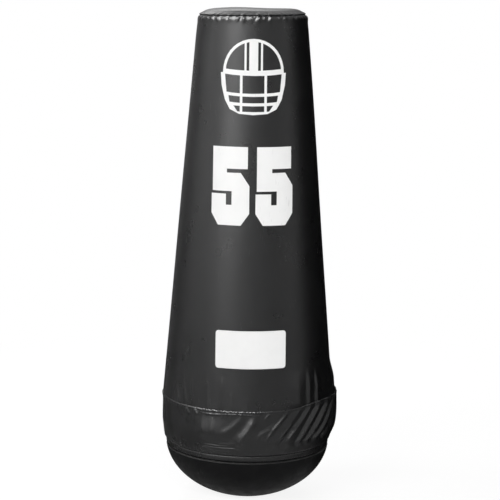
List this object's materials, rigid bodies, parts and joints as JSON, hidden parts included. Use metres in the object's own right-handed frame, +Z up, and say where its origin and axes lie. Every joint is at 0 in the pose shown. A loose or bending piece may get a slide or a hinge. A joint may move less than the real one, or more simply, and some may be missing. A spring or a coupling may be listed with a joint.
{
  "type": "pop-up tackling dummy",
  "caption": "Free-standing padded tackling dummy: a tall tapered foam body in a zipped vinyl cover on a weighted round-bottomed bowl, so it rights itself.",
  "frame": {"origin": "centre of the flat foot under the bowl, on the floor that the dummy stands on", "axes": "+Z up along the dummy's axis, -Y towards the printed front, +Y towards the zip at the back, +X to the right of someone who looks at the front"},
  "size_m": [0.6098, 0.6098, 1.702],
  "materials": {
    "black_vinyl": "satin black vinyl-coated cloth",
    "skirt_vinyl": "softer black vinyl-coated cloth with folds",
    "white_print": "matte white vinyl film",
    "bowl_rubber": "smooth satin black moulded rubber",
    "cast_iron": "dark cast iron",
    "zinc_steel": "zinc-plated steel",
    "plywood": "birch plywood",
    "grey_foam": "grey open-cell foam",
    "firm_foam": "firm cream foam",
    "braided_cord": "black braided cord",
    "zip_plastic": "black moulded zip"
  },
  "bodies": {
    "dummy": {"base_bowl": "bowl_rubber", "foot_plug": "bowl_rubber", "centre_bolt": "zinc_steel", "bolt_washer": "zinc_steel", "bolt_nut": "zinc_steel", "ballast_plate_foot": "cast_iron", "ballast_plate_lower": "cast_iron", "ballast_plate_middle": "cast_iron", "ballast_plate_upper": "cast_iron", "deck_board": "plywood", "deck_screw_1": "zinc_steel", "deck_screw_2": "zinc_steel", "deck_screw_3": "zinc_steel", "deck_screw_4": "zinc_steel", "deck_screw_5": "zinc_steel", "deck_screw_6": "zinc_steel", "foam_base": "grey_foam", "foam_sleeve_lower": "grey_foam", "foam_sleeve_middle": "grey_foam", "foam_sleeve_upper": "grey_foam", "foam_divider_middle": "firm_foam", "foam_divider_upper": "firm_foam", "foam_column": "firm_foam", "foam_cap": "grey_foam", "cover_body": "black_vinyl", "top_panel": "black_vinyl", "skirt": "skirt_vinyl", "hem_casing": "skirt_vinyl", "draw_cord": "braided_cord", "cord_ferrule": "zinc_steel", "helmet_emblem": "white_print", "number_left": "white_print", "number_right": "white_print", "label_patch": "white_print", "zip_tape_left": "zip_plastic", "zip_tape_right": "zip_plastic", "zip_chain": "zip_plastic", "zip_stop_bottom": "zinc_steel", "zip_stop_top": "zinc_steel"},
    "slider": {"zip_slider": "zinc_steel"},
    "pull": {"zip_pull": "zinc_steel"}
  },
  "joints": [
    {"name": "zip_slide", "type": "slide", "parent": "dummy", "child": "slider", "axis": [0, -0.0843, 0.9964], "range_m": [0, 1.146]},
    {"name": "pull_swing", "type": "hinge", "parent": "slider", "child": "pull", "pos_m": [0, 0.29886, 0.42982], "axis": [1, 0, 0], "range_deg": [0, 165]}
  ]
}
